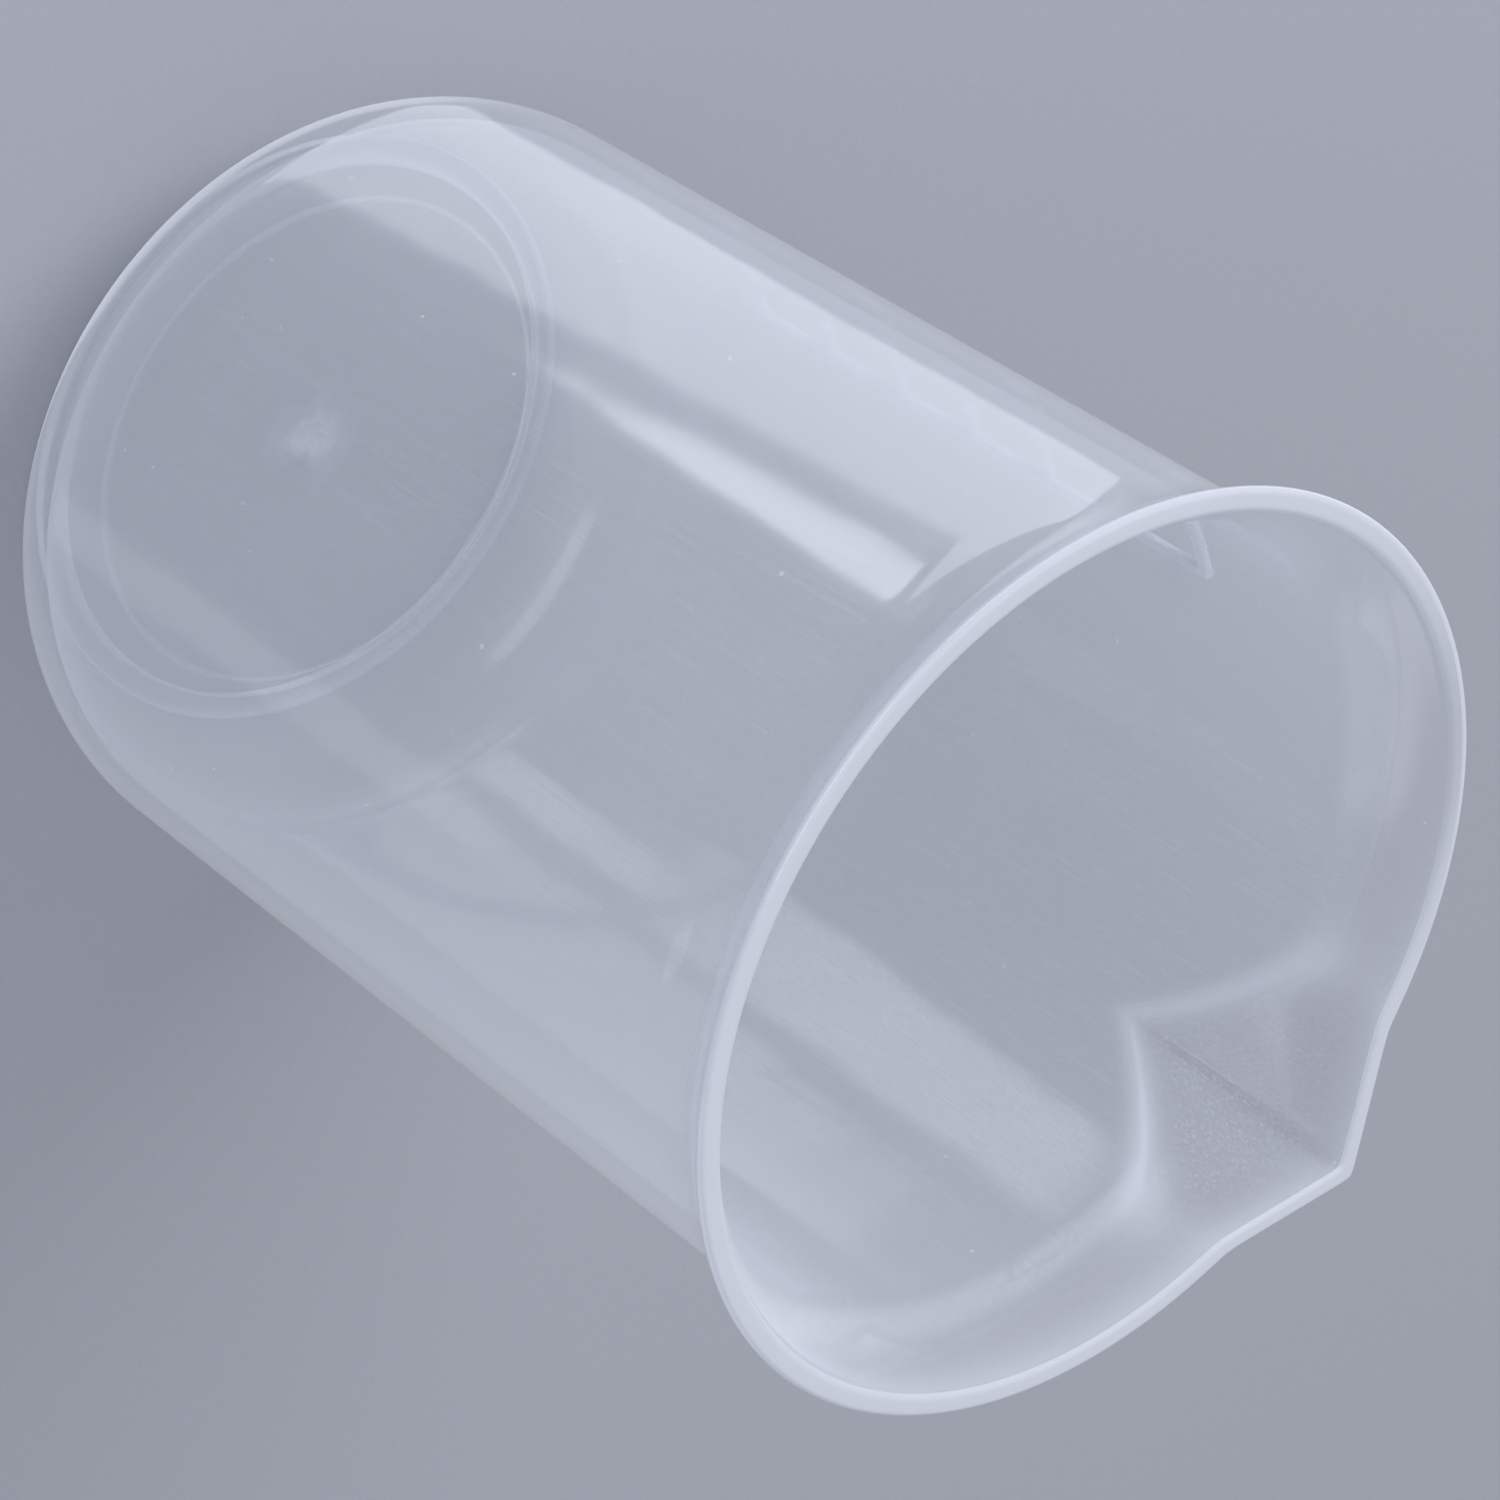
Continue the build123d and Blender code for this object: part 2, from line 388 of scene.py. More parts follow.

# %% [markdown]
# ## Outside, lip and inside
# From the foot the outline turns through the large base corner and goes up the side. Rows are
# closer together where the spout's crease runs out. On the lip, both edges are rounded along
# whatever slope the wall has in that column, because the flare and the spout lean differently.
# A Bevel modifier would give both edges one width all round, also on the thin nose. The lip is
# the brightest band of the cup, because one looks into the plastic end on. One side of it has
# less milk, a painted shade on the side where less light falls on the lip. Inside, a fine line
# round the floor is where the mould's plug met its sleeve.

# %% Base corner and the heights of the wall rows
CORNER_DEPTH = 0.8
FOOT_OUTSIDE_ROW = 0.62
# The small hollow where the foot ring meets the base corner: its width, height, turn and depth
HOLLOW_WIDTH = 0.01
HOLLOW_HEIGHT = 0.12
HOLLOW_TURN = 0.8
HOLLOW_DEPTH = 1.2
UPPER_START = 62.6
LIP_DEPTH = 12.0
# Painted shade: the side of the lip that gets less milk, and how much less
LIP_SHADED_SIDE = math.radians(58)
LIP_PAINTED_SHADE = 0.88
BELOW_LIP_SHARE = 0.2
BELOW_LIP_SHARPNESS = 8

straight_up = -math.degrees(DRAFT)
corner_reach = (1 - math.sin(DRAFT)) / math.cos(DRAFT)
outer_centre = (SIDE_BASE - BASE_CORNER * corner_reach, BASE_CORNER)
foot_meets = -math.degrees(math.acos((FOOT_RADIUS - outer_centre[0]) / BASE_CORNER))
foot_top = outer_centre[1] + BASE_CORNER * math.sin(math.radians(foot_meets))
corner_start = foot_meets + HOLLOW_TURN
ring(FOOT_RADIUS, FOOT_OUTSIDE_ROW, FOOT_DEPTH)
ring(FOOT_RADIUS + HOLLOW_WIDTH, foot_top - HOLLOW_HEIGHT, HOLLOW_DEPTH)
arc_rings(outer_centre, BASE_CORNER, corner_start, straight_up, steps=26, depth=CORNER_DEPTH)

plain_heights = np.concatenate([np.linspace(10.5, 52, 14), np.arange(52.6, 62.4, 0.4)])
upper_shares = np.linspace(0, 1, 26)
# Less milk on one side of the lip, a painted shade where less light falls on it
painted_lip_shade = np.clip(np.cos(columns - LIP_SHADED_SIDE), 0, 1) ** 3
lip_depth_and_shade = LIP_DEPTH * (1 - LIP_PAINTED_SHADE * painted_lip_shade)
print("foot ring meets the base corner", round(foot_top, 2), "mm up")

# %% Outer wall, lip and inner wall rows
def wall_rows(wall, lift, low):
    """Rows of one wall from the base corner up to the lip's rounding."""
    found = []
    for height in plain_heights:
        level = np.full_like(columns, height)
        found.append((wall(columns, level), level, folded_depth(lift, level)))
    for share in upper_shares:
        level = UPPER_START + (low[1] - UPPER_START) * share
        below_lip = lip_depth_and_shade * BELOW_LIP_SHARE * share**BELOW_LIP_SHARPNESS
        found.append((wall(columns, level), level, folded_depth(lift, level) + below_lip))
    return found


outer_low, outer_sharp, outer_high = lip_corner(outer_wall, LIP_OUTER_ROUNDING)
inner_low, inner_sharp, inner_high = lip_corner(inner_wall, LIP_INNER_ROUNDING)
rows.extend(wall_rows(outer_wall, outer_lift, outer_low))
lip_rings(outer_low, outer_sharp, outer_high, steps=9, depth=LIP_DEPTH)
for share in (0.25, 0.5, 0.75):
    across_lip = outer_high[0] + (inner_high[0] - outer_high[0]) * share
    rows.append((across_lip, outer_high[1], lip_depth_and_shade))
lip_rings(inner_high, inner_sharp, inner_low, steps=6, depth=lip_depth_and_shade)
rows.extend(wall_rows(inner_wall, inner_lift, inner_low)[::-1])
print(len(rows), "rows up to the inner corner")

# %% Inner corner and floor rows
PLUG_STEP = 0.12
# The rows of the plug's line: how far in from the corner, how far up, and their depth
PLUG_LINE = ((0.02, 0.005, 2.6), (0.12, 0.5 * PLUG_STEP, 2.6), (0.24, PLUG_STEP, 1.6))
INNER_CORNER_END = -88.5
FLOOR_ROWS = (15.0, 13, 10, 7, 4, 2, 0.8, 0.2)
inner_centre = (
    SIDE_BASE - WALL_ACROSS + FLOOR_TOP * math.tan(DRAFT) - INNER_CORNER * corner_reach,
    FLOOR_TOP + INNER_CORNER,
)
arc_rings(inner_centre, INNER_CORNER, straight_up, INNER_CORNER_END, steps=24, depth=CORNER_DEPTH)
for inwards, upwards, depth in PLUG_LINE:
    ring(inner_centre[0] - inwards, FLOOR_TOP + upwards, depth)
for distance in FLOOR_ROWS:
    ring(distance, FLOOR_TOP + PLUG_STEP, WALL_DEPTH)
print(len(rows), "rows in all")

# %% [markdown]
# ## Skin
# A Solidify modifier could give one wall its thickness, but the inner wall has corners and a
# fold of its own, so both walls are in the one grid. A fan of triangles closes it at both ends,
# which makes the cup one watertight skin: its volume can be read from it and checked against the
# CAD solid's 14.1 cubic centimetres. The depth of plastic is kept on its points as an attribute,
# which a material can read by name; on one side of the lip and along the spout's creases it also
# carries painted shade and a painted highlight.

# %% Build the skin
def set_depth(mesh, depth):
    """Keeps the depth of plastic behind each point of a mesh, in millimetres."""
    values = np.full(len(mesh.vertices), depth, np.float32)
    mesh.attributes.new("depth_and_painted_light", "FLOAT", "POINT").data.foreach_set("value", values)


def grid_faces(row_count, count):
    """Faces between the rows, and the two fans round the centres that follow them."""
    faces = []
    last = (row_count - 1) * count
    neighbours = [(column, (column + 1) % count) for column in range(count)]
    for here in range(0, last, count):
        above = here + count
        for column, beside in neighbours:
            faces.append((here + beside, here + column, above + column, above + beside))
    for column, beside in neighbours:
        faces.append((last + count, column, beside))
        faces.append((last + count + 1, last + beside, last + column))
    return faces


def closed_skin(name, low_centre, high_centre):
    """A mesh from the rows, closed at its low and its high centre."""
    count = len(columns)
    rounds = [(r * np.cos(columns), r * np.sin(columns), z) for r, z, _ in rows]
    points = np.array(rounds).transpose(0, 2, 1).reshape(-1, 3)
    points = np.vstack([points, [low_centre, high_centre]]) * MM
    depths = np.concatenate([np.broadcast_to(depth, count) for _, _, depth in rows])
    mesh = bpy.data.meshes.new(name)
    mesh.from_pydata(points.tolist(), [], grid_faces(len(rows), count))
    shell = bmesh.new()
    shell.from_mesh(mesh)
    bmesh.ops.recalc_face_normals(shell, faces=shell.faces)
    if shell.calc_volume(signed=True) < 0:
        bmesh.ops.reverse_faces(shell, faces=shell.faces)
    print("volume", round(shell.calc_volume(signed=True) / MM**3), "cubic mm")
    shell.to_mesh(mesh)
    shell.free()
    mesh.shade_smooth()
    set_depth(mesh, np.append(depths, [depths[0], depths[-1]]))
    return placed(name, mesh)


cup_skin = closed_skin(
    "cup_skin",
    (0, 0, FOOT_RECESS + DIMPLE_HEIGHT - STUB_HEIGHT),
    (0, 0, FLOOR_TOP + PLUG_STEP),
)
print(len(cup_skin.data.polygons), "faces in the skin")

# %% [markdown]
# ## Volume marks
# The raised scale on the wall is a spine with a mark every ten millilitres, every second one
# long. The marks follow a rule, so Geometry Nodes make them: a line of points, a straight
# stroke on each, a rounded profile swept along the strokes, a union so that they are one solid,
# and last a bend that wraps the flat drawing round the tapered wall.

# %% Sizes of the scale, and a helper for nodes
SCALE_TURN = math.radians(65)
TOP_MARK = 52.85
MARK_SPACING = 6.21
MARK_COUNT = 7
LONG_MARK = 4.2
SHORT_MARK = 2.4
STROKE = 0.6
STROKE_ROUNDING = 0.14
STROKE_POINTS = 14


class TreeMaker:
    """Adds nodes to a tree in short lines, for geometry and for materials."""

    def __init__(self, tree):
        self.tree = tree

    def add(self, kind, inputs=None, **settings):
        made = self.tree.nodes.new(kind)
        for name, value in settings.items():
            setattr(made, name, value)
        for name, value in (inputs or {}).items():
            socket = made.inputs[name]
            if isinstance(value, bpy.types.NodeSocket):
                self.tree.links.new(value, socket)
            else:
                socket.default_value = value
        return made

    def math(self, operation, first, second=0.0, third=0.0, clamp=False):
        inputs = {0: first, 1: second, 2: third}
        return self.add("ShaderNodeMath", inputs, operation=operation, use_clamp=clamp).outputs[0]

    def vector(self, **parts):
        return self.add("ShaderNodeCombineXYZ", parts).outputs[0]

    def link(self, start, end):
        self.tree.links.new(start, end)


lowest_mark = TOP_MARK - (MARK_COUNT - 1) * MARK_SPACING
print("scale from", round(lowest_mark, 2), "mm up to", TOP_MARK, "mm")

# %% The scale's node tree
def flat_scale(make, sizes):
    """The strokes of the marks and the spine, as flat curves."""
    drop = make.math("MULTIPLY", sizes["Spacing"], -1.0)
    ladder = make.add("GeometryNodeMeshLine", {
        "Count": sizes["Marks"],
        "Start Location": make.vector(Z=sizes["Top height"]),
        "Offset": make.vector(Z=drop),
    })
    stroke = make.add("GeometryNodeCurvePrimitiveLine", {"Start": (0, 0, 0), "End": (1, 0, 0)})
    stroke = make.add("GeometryNodeResampleCurve", {
        "Curve": stroke.outputs[0], "Count": STROKE_POINTS,
    })
    odd = make.math("MODULO", make.add("GeometryNodeInputIndex").outputs[0], 2.0)
    shorter = make.math("SUBTRACT", sizes["Long mark"], sizes["Short mark"])
    length = make.math("SUBTRACT", sizes["Long mark"], make.math("MULTIPLY", shorter, odd))
    strokes = make.add("GeometryNodeInstanceOnPoints", {
        "Points": ladder.outputs[0],
        "Instance": stroke.outputs[0],
        "Scale": make.vector(X=length, Y=1.0, Z=1.0),
    })
    strokes = make.add("GeometryNodeRealizeInstances", {"Geometry": strokes.outputs[0]})

    # The spine is half a stroke longer than the ladder at both ends
    half = make.math("MULTIPLY", sizes["Stroke"], 0.5)
    fall = make.math("MULTIPLY", sizes["Spacing"], make.math("SUBTRACT", sizes["Marks"], 1.0))
    high = make.math("ADD", sizes["Top height"], half)
    low = make.math("SUBTRACT", make.math("SUBTRACT", sizes["Top height"], fall), half)
    spine = make.add("GeometryNodeCurvePrimitiveLine", {
        "Start": make.vector(Z=high), "End": make.vector(Z=low),
    })
    return strokes.outputs[0], spine.outputs[0]


def swept_solid(make, sizes, curves):
    """A rounded square profile swept along the curves, and all of them joined into one solid."""
    profile = make.add("GeometryNodeCurvePrimitiveQuadrilateral", {
        "Width": sizes["Stroke"], "Height": sizes["Stroke"],
    })
    profile = make.add("GeometryNodeFilletCurve", {
        "Curve": profile.outputs[0], "Radius": sizes["Rounding"], "Count": 3,
    }, mode="POLY")
    solids = [
        make.add("GeometryNodeCurveToMesh", {
            "Curve": curve, "Profile Curve": profile.outputs[0], "Fill Caps": True,
        }).outputs[0]
        for curve in curves
    ]
    union = make.add("GeometryNodeMeshBoolean", operation="UNION", solver="EXACT")
    for solid in solids:
        make.link(solid, union.inputs["Mesh 2"])
    return union.outputs[0]


def wrapped_place(make, sizes):
    """Sideways becomes an angle round the tapered wall, and towards the viewer outwards."""
    position = make.add("GeometryNodeInputPosition").outputs[0]
    flat = make.add("ShaderNodeSeparateXYZ", {0: position}).outputs
    taper = make.math("MULTIPLY", flat["Z"], sizes["Taper"])
    wall = make.math("ADD", sizes["Wall radius"], taper)
    angle = make.math("ADD", sizes["Turn"], make.math("DIVIDE", flat["X"], wall))
    reach = make.math("SUBTRACT", wall, flat["Y"])
    return make.vector(
        X=make.math("MULTIPLY", reach, make.math("COSINE", angle)),
        Y=make.math("MULTIPLY", reach, make.math("SINE", angle)),
        Z=flat["Z"],
    )


def marks_tree():
    """The Geometry Nodes tree of the scale, with its sizes as named inputs."""
    tree = bpy.data.node_groups.new("volume_marks", "GeometryNodeTree")
    wanted = [
        ("Marks", "NodeSocketInt", MARK_COUNT),
        ("Top height", "NodeSocketFloat", TOP_MARK * MM),
        ("Spacing", "NodeSocketFloat", MARK_SPACING * MM),
        ("Long mark", "NodeSocketFloat", LONG_MARK * MM),
        ("Short mark", "NodeSocketFloat", SHORT_MARK * MM),
        ("Stroke", "NodeSocketFloat", STROKE * MM),
        ("Rounding", "NodeSocketFloat", STROKE_ROUNDING * MM),
        ("Turn", "NodeSocketFloat", SCALE_TURN),
        ("Wall radius", "NodeSocketFloat", SIDE_BASE * MM),
        ("Taper", "NodeSocketFloat", math.tan(DRAFT)),
        ("Finish", "NodeSocketMaterial", None),
    ]
    sockets = {}
    for name, kind, value in wanted:
        socket = tree.interface.new_socket(name=name, in_out="INPUT", socket_type=kind)
        sockets[name] = (socket.identifier, value)
    tree.interface.new_socket(name="Geometry", in_out="OUTPUT", socket_type="NodeSocketGeometry")
    make = TreeMaker(tree)
    sizes = make.add("NodeGroupInput").outputs
    result = make.add("NodeGroupOutput")
    solid = swept_solid(make, sizes, flat_scale(make, sizes))
    bent = make.add("GeometryNodeSetPosition", {
        "Geometry": solid, "Position": wrapped_place(make, sizes),
    })
    real = make.add("GeometryNodeRealizeInstances", {"Geometry": bent.outputs[0]})
    dressed = make.add("GeometryNodeSetMaterial", {
        "Geometry": real.outputs[0], "Material": sizes["Finish"],
    })
    make.link(dressed.outputs[0], result.inputs[0])
    return tree, sockets


scale_tree, scale_sockets = marks_tree()
print(len(scale_tree.nodes), "nodes in the scale's tree")

# %% [markdown]
# ## Finish
# Natural polypropylene lets most light straight through, scatters a little of it into a milky
# veil, and has a satin gloss. A glass shader would bend and blur what shows through, and a
# volume would be slow and grainy for so thin a wall. Instead each surface is partly
# transparent and partly milk, and the share of milk grows with the depth of plastic behind the
# surface and with the slant of the view, as it does in the real wall. The milk is slightly blue,
# because the fine crystals in the plastic scatter blue light most. Gloss lies on top, and the
# inner side of each surface has less of it, so that a bright strip isn't mirrored twice. Three
# effects wear the plastic: hair scratches, specks of dust, and slow clouds in the milk.

# %% Hair scratches
# The turn and place of each set, how fine it is across and along, and the noise level where a
# scratch starts and where it is full
SCRATCH_SETS = (((0.5, 0.3, 0.4), 3.0), ((0.2, -0.9, 2.6), 23.0))
SCRATCH_FINENESS = (8000.0, 8000.0, 170.0)
SCRATCH_START = 0.64
SCRATCH_FULL = 0.74


def effect(name, inputs, outputs):
    """An empty shader node group with named sockets, and its input and output nodes."""
    tree = bpy.data.node_groups.new(name, "ShaderNodeTree")
    for label, kind, value in inputs:
        socket = tree.interface.new_socket(name=label, in_out="INPUT", socket_type=kind)
        if value is not None:
            socket.default_value = value
    for label, kind in outputs:
        tree.interface.new_socket(name=label, in_out="OUTPUT", socket_type=kind)
    make = TreeMaker(tree)
    return make, make.add("NodeGroupInput").outputs, make.add("NodeGroupOutput").inputs


def noise(make, place, scale, detail):
    """A noise value from 0 to 1 that changes over the surface."""
    settings = {"Vector": place, "Scale": scale, "Detail": detail}
    return make.add("ShaderNodeTexNoise", settings).outputs[0]


def hair_scratches():
    """Short hairline scratches in two directions, as a mask from 0 to 1."""
    make, given, result = effect(
        "hair_scratches",
        [("Place", "NodeSocketVector", None), ("Amount", "NodeSocketFloat", 1.0)],
        [("Mask", "NodeSocketFloat")],
    )
    lines = []
    for turn, shift in SCRATCH_SETS:
        laid = make.add("ShaderNodeMapping", {
            "Vector": given["Place"],
            "Rotation": turn,
            "Scale": SCRATCH_FINENESS,
            "Location": (shift, shift, shift),
        })
        lines.append(make.add("ShaderNodeMapRange", {
            "Value": noise(make, laid.outputs[0], 1.0, 0.0),
            "From Min": SCRATCH_START,
            "From Max": SCRATCH_FULL,
        }).outputs[0])
    mask = make.math("MULTIPLY", make.math("MAXIMUM", *lines), given["Amount"], clamp=True)
    make.link(mask, result["Mask"])
    return make.tree


scratches = hair_scratches()
print(len(scratches.nodes), "nodes in the scratches")

# %% Dust specks and milk clouds
SPECK_EDGE = 0.03
CLOUD_FINENESS = 70.0
CLOUD_STRETCH = (1.0, 1.0, 0.4)


def dust_specks():
    """Sparse small specks of dust and nicks, as a mask from 0 to 1."""
    make, given, result = effect(
        "dust_specks",
        [
            ("Place", "NodeSocketVector", None),
            ("Fineness", "NodeSocketFloat", 1500.0),
            ("Rarity", "NodeSocketFloat", 0.88),
        ],
        [("Mask", "NodeSocketFloat")],
    )
    grain = noise(make, given["Place"], given["Fineness"], 0.0)
    above = make.math("SUBTRACT", grain, given["Rarity"])
    make.link(make.math("DIVIDE", above, SPECK_EDGE, clamp=True), result["Mask"])
    return make.tree


def milk_clouds():
    """Slow changes in how milky the plastic is, about 1, drawn out along the flow up the wall."""
    make, given, result = effect(
        "milk_clouds",
        [("Place", "NodeSocketVector", None), ("Strength", "NodeSocketFloat", 0.2)],
        [("Density", "NodeSocketFloat")],
    )
    laid = make.add("ShaderNodeMapping", {"Vector": given["Place"], "Scale": CLOUD_STRETCH})
    broad = noise(make, laid.outputs[0], CLOUD_FINENESS, 1.0)
    swing = make.math("MULTIPLY", make.math("SUBTRACT", broad, 0.5), given["Strength"])
    make.link(make.math("MULTIPLY_ADD", swing, 2.0, 1.0), result["Density"])
    return make.tree


effects = [scratches, dust_specks(), milk_clouds()]
print("effects:", [tree.name for tree in effects])

# %% Shares of milk and gloss
MILK_DENSITY = 0.21
SCRATCH_SHARE = 0.35
WORN_MILK = 0.7
LEAST_SQUARE_ON = 0.16
GLOSS_SQUARE_ON = 0.12
GLOSS_GRAZING = 0.45
GLOSS_INSIDE = 0.25


def milk_share(make, place, facing):
    """Share of milk: 1 - exp(-density * depth * slant * clouds), or more on a scratch or speck."""
    groups = [make.add("ShaderNodeGroup", node_tree=tree) for tree in effects]
    for group in groups:
        make.link(place, group.inputs["Place"])
    scratch, speck, cloud = [group.outputs[0] for group in groups]
    worn = make.math("MAXIMUM", make.math("MULTIPLY", scratch, SCRATCH_SHARE), speck)
    depth = make.add("ShaderNodeAttribute", attribute_name="depth_and_painted_light", attribute_type="GEOMETRY")
    square_on = make.math("MAXIMUM", make.math("SUBTRACT", 1.0, facing), LEAST_SQUARE_ON)
    slanted = make.math("MULTIPLY", depth.outputs["Fac"], make.math("DIVIDE", 1.0, square_on))
    optical = make.math("MULTIPLY", slanted, cloud)
    passed = make.math("EXPONENT", make.math("MULTIPLY", optical, -MILK_DENSITY))
    milky = make.math("SUBTRACT", 1.0, passed)
    return make.math("MAXIMUM", milky, make.math("MULTIPLY", worn, WORN_MILK), clamp=True)


def gloss_share(make, facing):
    """Share of gloss: more at a glancing view, and less on the inner side of a surface."""
    grazing = make.math("POWER", facing, 5.0)
    outside = make.math("MULTIPLY_ADD", grazing, GLOSS_GRAZING, GLOSS_SQUARE_ON)
    behind = make.add("ShaderNodeNewGeometry").outputs["Backfacing"]
    return make.math("MULTIPLY", outside, make.math("MULTIPLY_ADD", behind, GLOSS_INSIDE - 1, 1.0))


plain_milk = 1 - math.exp(-MILK_DENSITY * WALL_DEPTH)
print("share of milk on the plain wall, seen square on:", round(plain_milk, 3))

# %% Milky plastic
MILK_COLOUR = (0.815, 0.848, 0.935, 1)
CLEAR_TINT = (0.98, 0.983, 0.99, 1)
THROUGH_LIGHT = 0.3
RIPPLE_FINENESS = 110.0
RIPPLE_STRENGTH = 0.25
RIPPLE_HEIGHT = 0.3 * MM
GLOSS_ROUGHNESS = 0.09
ROUGHNESS_SWING = 0.06


def milky_plastic(name):
    """Clear, slightly milky moulded plastic with a satin gloss."""
    material = bpy.data.materials.new(name)
    material.use_nodes = True
    material.node_tree.nodes.clear()
    make = TreeMaker(material.node_tree)

    def mixed(share, first, second):
        return make.add("ShaderNodeMixShader", {0: share, 1: first, 2: second}).outputs[0]

    def shader(kind, **inputs):
        return make.add("ShaderNodeBsdf" + kind, inputs).outputs[0]

    place = make.add("ShaderNodeTexCoord").outputs["Object"]
    facing = make.add("ShaderNodeLayerWeight", {"Blend": 0.5}).outputs["Facing"]

    # Fine unevenness of the moulded surface
    ripple = noise(make, place, RIPPLE_FINENESS, 1.0)
    bump = make.add("ShaderNodeBump", {
        "Strength": RIPPLE_STRENGTH, "Distance": RIPPLE_HEIGHT, "Height": ripple,
    }).outputs[0]
    swing = make.math("SUBTRACT", ripple, 0.5)
    roughness = make.math("MULTIPLY_ADD", swing, ROUGHNESS_SWING, GLOSS_ROUGHNESS)

    milk_front = shader("Diffuse", Color=MILK_COLOUR, Normal=bump)
    milk_back = shader("Translucent", Color=MILK_COLOUR, Normal=bump)
    milk = mixed(THROUGH_LIGHT, milk_front, milk_back)
    clear = shader("Transparent", Color=CLEAR_TINT)
    body = mixed(milk_share(make, place, facing), clear, milk)
    gloss = shader("Glossy", Color=(1, 1, 1, 1), Roughness=roughness, Normal=bump)
    surface = mixed(gloss_share(make, facing), body, gloss)
    make.link(surface, make.add("ShaderNodeOutputMaterial").inputs["Surface"])
    return material


cup_plastic = milky_plastic("cup_plastic")
cup_skin.data.materials.append(cup_plastic)
print(len(cup_plastic.node_tree.nodes), "nodes in the finish")

# %% [markdown]
# ## Keeping the marks
# The scale's tree runs as a modifier on an empty holder. Its result is kept as a plain mesh and
# the holder goes, so that nothing is live when the frame takes over.

# %% Make the marks and keep them as a plain mesh
MARKS_DEPTH = 3.5


def evaluated_mesh(holder):
    """A plain mesh of what an object shows, after which the object is removed."""
    bpy.context.view_layer.update()
    graph = bpy.context.evaluated_depsgraph_get()
    mesh = bpy.data.meshes.new_from_object(holder.evaluated_get(graph))
    holder.modifiers.clear()
    bpy.data.objects.remove(holder)
    return mesh


def make_marks():
    """The raised scale as one piece."""
    holder = placed("marks_holder", bpy.data.meshes.new("marks_holder"))
    modifier = holder.modifiers.new("marks", "NODES")
    modifier.node_group = scale_tree
    for name, (identifier, value) in scale_sockets.items():
        modifier[identifier] = cup_plastic if name == "Finish" else value
    mesh = evaluated_mesh(holder)
    mesh.name = "scale_marks"
    set_depth(mesh, MARKS_DEPTH)
    return placed("scale_marks", mesh)


scale_marks = make_marks()
print("scale marks:", len(scale_marks.data.polygons), "faces")

# %% [markdown]
# ## Numerals
# Only the upper corner of the scale shows in the photograph, so the numerals are plain figures
# of the usual size beside the long marks. Text is drawn flat, turned into a mesh, and wrapped
# round the wall with the same rule as the marks.

# %% Numerals beside the long marks
NUMERAL_HEIGHT = 3.4
FIGURE_SHARE = 0.7
NUMERAL_GAP = 1.1
NUMERAL_RAISE = 0.22
NUMERAL_EDGE = 0.05
NUMERAL_WEIGHT = 0.02
NUMERALS_DEPTH = 1.0
TOP_VOLUME = 80
MARK_VOLUME = 10
WELD = 0.002 * MM


def flat_numeral(text):
    """The mesh of one raised numeral, lying flat, in millimetres."""
    letters = bpy.data.curves.new("numeral_" + text, "FONT")
    letters.body = text
    letters.size = NUMERAL_HEIGHT / FIGURE_SHARE
    letters.align_y = "CENTER"
    letters.extrude = NUMERAL_RAISE
    letters.bevel_depth = NUMERAL_EDGE
    letters.bevel_resolution = 1
    letters.offset = NUMERAL_WEIGHT
    return evaluated_mesh(placed("numeral_" + text, letters))


def wrapped_numerals():
    """All the numerals as one mesh on the wall."""
    figures = bmesh.new()
    for index in range(0, MARK_COUNT, 2):
        first = len(figures.verts)
        figures.from_mesh(flat_numeral(str(TOP_VOLUME - MARK_VOLUME * index)))
        figures.verts.ensure_lookup_table()
        shift = Vector((LONG_MARK + NUMERAL_GAP, TOP_MARK - index * MARK_SPACING, 0))
        for vertex in figures.verts[first:]:
            flat = vertex.co + shift
            wall = SIDE_BASE + flat.y * math.tan(DRAFT)
            angle = SCALE_TURN + flat.x / wall
            reach = wall + flat.z
            vertex.co = Vector((reach * math.cos(angle), reach * math.sin(angle), flat.y)) * MM
    bmesh.ops.remove_doubles(figures, verts=figures.verts, dist=WELD)
    bmesh.ops.recalc_face_normals(figures, faces=figures.faces)
    mesh = bpy.data.meshes.new("scale_numerals")
    figures.to_mesh(mesh)
    figures.free()
    mesh.materials.append(cup_plastic)
    set_depth(mesh, NUMERALS_DEPTH)
    return placed("scale_numerals", mesh)


scale_numerals = wrapped_numerals()
print("numerals:", len(scale_numerals.data.polygons), "faces")

# %% [markdown]
# ## Floor
# The cup stands on a plain pale floor with a fine matt grain. The foot and the floor would lie
# in one plane, where a renderer can't tell which is in front, so the floor is a fiftieth of a
# millimetre lower. Gloss doesn't see it, because it would hide the soft boxes below the horizon.

# %% Floor
FLOOR_COLOUR = (0.40, 0.412, 0.47)
FLOOR_REACH = 4.0
FOOT_GAP = 0.02 * MM
GRAIN_SCALE = 2400.0
GRAIN_SWING = 0.015


